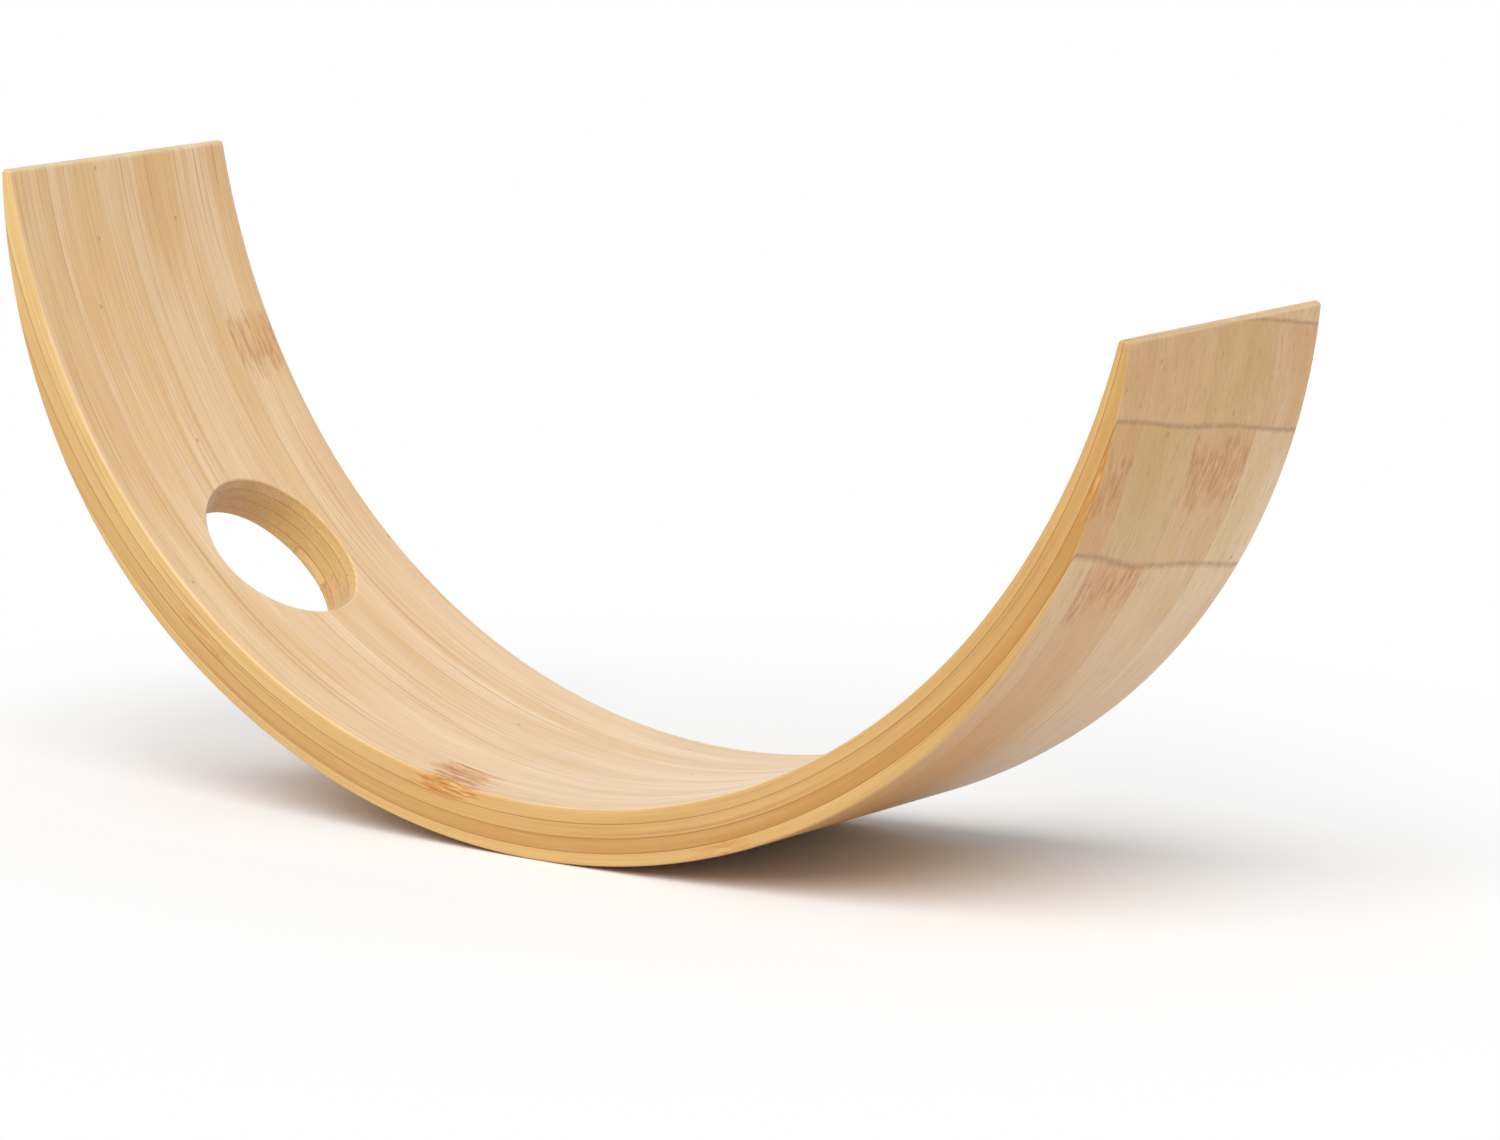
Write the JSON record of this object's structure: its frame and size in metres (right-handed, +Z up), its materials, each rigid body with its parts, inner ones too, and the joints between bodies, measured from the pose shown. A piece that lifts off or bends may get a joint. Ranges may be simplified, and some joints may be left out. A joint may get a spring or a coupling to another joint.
{
  "type": "balancing wine bottle holder",
  "caption": "Curved laminated bamboo cradle that rocks on its rounded base and balances a wine bottle by neck and heel.",
  "frame": {"origin": "middle of the cradle's length and width, at the height of the surface its rounded base stands on", "axes": "+Z up, +X from the arm with the neck hole to the arm that the bottle's heel leans on, +Y across the width"},
  "size_m": [0.284, 0.07, 0.1301],
  "materials": {
    "bamboo": "satin clear lacquer"
  },
  "bodies": {
    "root": {"bottle_cradle": "bamboo"}
  },
  "joints": []
}
